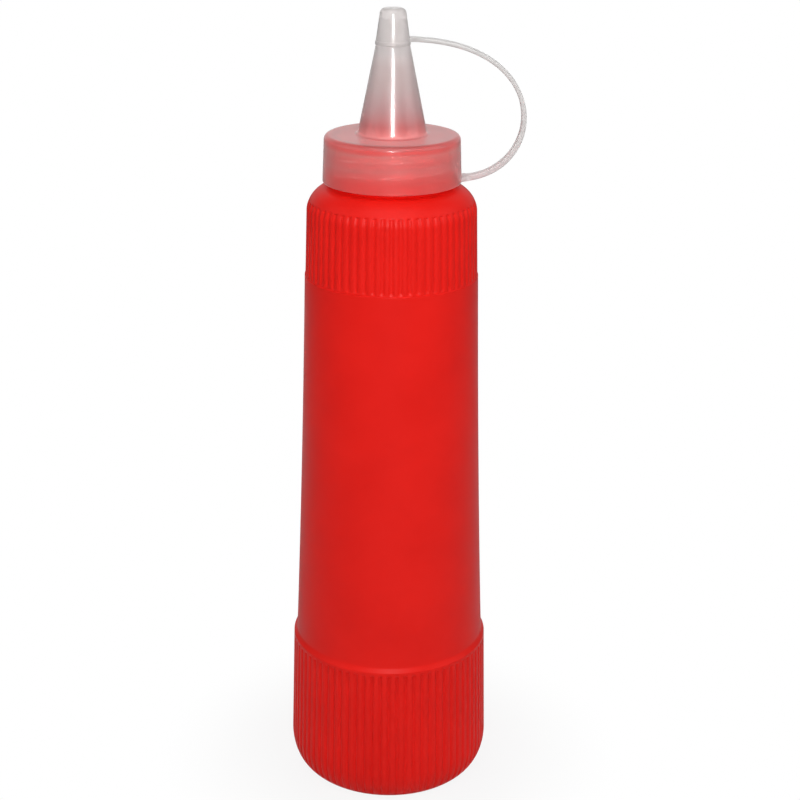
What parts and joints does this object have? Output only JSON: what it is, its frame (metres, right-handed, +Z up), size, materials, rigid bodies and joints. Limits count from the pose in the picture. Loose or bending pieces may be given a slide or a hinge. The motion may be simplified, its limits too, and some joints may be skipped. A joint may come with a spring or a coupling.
{
  "type": "ketchup squeeze bottle",
  "caption": "Tall round squeeze bottle with fluted grip bands, a screw cap with a long conical nozzle, and a tip cap tethered by a moulded strap loop.",
  "frame": {"origin": "on the bottle's axis, on the plane it stands on", "axes": "+Z up along the bottle's axis, +X towards the strap's loop, +Y away from the side that is looked at"},
  "size_m": [0.0708, 0.0638, 0.244],
  "materials": {
    "bottle": "solid red, soft satin gloss of blow-moulded polyethylene",
    "cap": "natural frosted polyethylene, translucent, smooth and slightly waxy"
  },
  "bodies": {
    "root": {"bottle": "bottle", "screw_cap": "cap", "tip_cap": "cap"}
  },
  "joints": []
}
